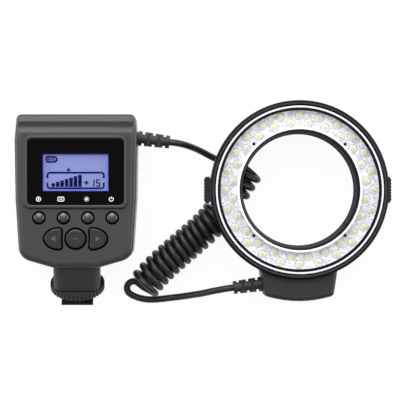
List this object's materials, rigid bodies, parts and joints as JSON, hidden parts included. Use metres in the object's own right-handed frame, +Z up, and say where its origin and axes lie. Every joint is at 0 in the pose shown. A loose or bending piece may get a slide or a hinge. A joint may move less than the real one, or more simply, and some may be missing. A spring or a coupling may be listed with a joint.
{
  "type": "macro ring flash",
  "caption": "Ring light head with clear opening and spring release levers, joined by a curly cord to a shoe-mount control unit with display, push buttons and a sliding battery door.",
  "frame": {"origin": "Centre of the footprint of the unit and the head, on the table plane at Z = 0", "axes": "X from the control unit to the ring head, Y towards the top end of the unit, Z up out of the table, as both lie on their backs"},
  "size_m": [0.2216, 0.1206, 0.0415],
  "materials": {
    "casing": "fine satin texture",
    "window": "polished dark pane",
    "lcd": "liquid crystal panel",
    "backlight": "white light guide",
    "board": "solder mask",
    "screw": "zinc plated",
    "rubber": "smooth rubber",
    "button": "satin moulded",
    "cell": "printed sleeve",
    "contact": "nickel plated",
    "cap": "shrunk sleeve",
    "neck": "satin moulded",
    "foot": "satin moulded",
    "black": "satin black",
    "gold": "gold plated",
    "gloss": "polished black",
    "clear": "clear acrylic",
    "white": "white reflector",
    "lamp": "clear lens",
    "block": "satin dark grey",
    "black_screw": "black oxide"
  },
  "bodies": {
    "root": {"front_shell": "casing", "rear_shell": "casing", "display_window": "window", "lcd_panel": "lcd", "lcd_backlight": "backlight", "main_board": "board", "board_screws": "screw", "keypad_mat": "rubber", "battery_cells": "cell", "battery_contacts": "contact", "storage_capacitor": "cap", "case_screws": "screw", "shoe_neck": "neck", "shoe_foot": "foot", "centre_contact": "gold", "contact_insulator": "black", "unit_strain_relief": "rubber", "ring_housing": "black", "ring_collar": "black", "front_rim": "gloss", "clear_cover": "clear", "reflector_plate": "white", "led_board": "board", "led_bank_left": "lamp", "led_bank_right": "lamp", "inner_ring": "gloss", "block_base": "block", "block_cover": "block", "block_screws": "screw", "ring_strain_relief": "rubber", "lever_pins": "screw", "release_spring_left": "screw", "release_spring_right": "screw", "plate_screws": "black_screw", "collar_screws": "screw", "cord_lower": "rubber", "cord_coil": "rubber", "cord_link": "rubber", "cord_inner_coil": "rubber", "cord_upper": "rubber"},
    "pilot_button": {"pilot_button": "button"},
    "mode_button": {"mode_button": "button"},
    "light_button": {"light_button": "button"},
    "power_button": {"power_button": "button"},
    "left_button": {"left_button": "button"},
    "select_button": {"select_button": "button"},
    "right_button": {"right_button": "button"},
    "battery_door": {"battery_door": "casing"},
    "lock_washer": {"lock_washer": "foot"},
    "lock_wheel": {"lock_wheel": "black"},
    "release_lever_left": {"release_lever_left": "black"},
    "release_lever_right": {"release_lever_right": "black"}
  },
  "joints": [
    {"name": "pilot_press", "type": "slide", "parent": "root", "child": "pilot_button", "axis": [0, 0, -1], "range_m": [0, 0.001], "stiffness_N_per_m": 600},
    {"name": "mode_press", "type": "slide", "parent": "root", "child": "mode_button", "axis": [0, 0, -1], "range_m": [0, 0.001], "stiffness_N_per_m": 600},
    {"name": "light_press", "type": "slide", "parent": "root", "child": "light_button", "axis": [0, 0, -1], "range_m": [0, 0.001], "stiffness_N_per_m": 600},
    {"name": "power_press", "type": "slide", "parent": "root", "child": "power_button", "axis": [0, 0, -1], "range_m": [0, 0.001], "stiffness_N_per_m": 600},
    {"name": "left_press", "type": "slide", "parent": "root", "child": "left_button", "axis": [0, 0, -1], "range_m": [0, 0.001], "stiffness_N_per_m": 600},
    {"name": "select_press", "type": "slide", "parent": "root", "child": "select_button", "axis": [0, 0, -1], "range_m": [0, 0.001], "stiffness_N_per_m": 600},
    {"name": "right_press", "type": "slide", "parent": "root", "child": "right_button", "axis": [0, 0, -1], "range_m": [0, 0.001], "stiffness_N_per_m": 600},
    {"name": "door_slide", "type": "slide", "parent": "root", "child": "battery_door", "axis": [0, 1, 0], "range_m": [0, 0.072]},
    {"name": "washer_slide", "type": "slide", "parent": "root", "child": "lock_washer", "axis": [0, -0.866, -0.5], "range_m": [0, 0.0018]},
    {"name": "wheel_turn", "type": "hinge", "parent": "lock_washer", "child": "lock_wheel", "pos_m": [-0.07505, -0.04822, 0.01616], "axis": [0, -0.866, -0.5], "range_deg": [0, 541]},
    {"name": "release_left", "type": "hinge", "parent": "root", "child": "release_lever_left", "pos_m": [0.00582, 0.0077, 0.01278], "axis": [0, 1, 0], "range_deg": [0, 8], "stiffness_Nm_per_rad": 0.5, "deforming": ["release_spring_left"]},
    {"name": "release_right", "type": "hinge", "parent": "root", "child": "release_lever_right", "pos_m": [0.1041, 0.0077, 0.00783], "axis": [0, -1, 0], "range_deg": [0, 8], "stiffness_Nm_per_rad": 0.5, "deforming": ["release_spring_right"]}
  ],
  "couplings": [
    {"joint": "wheel_turn", "follows": "washer_slide", "rad_per_m": 5236}
  ]
}
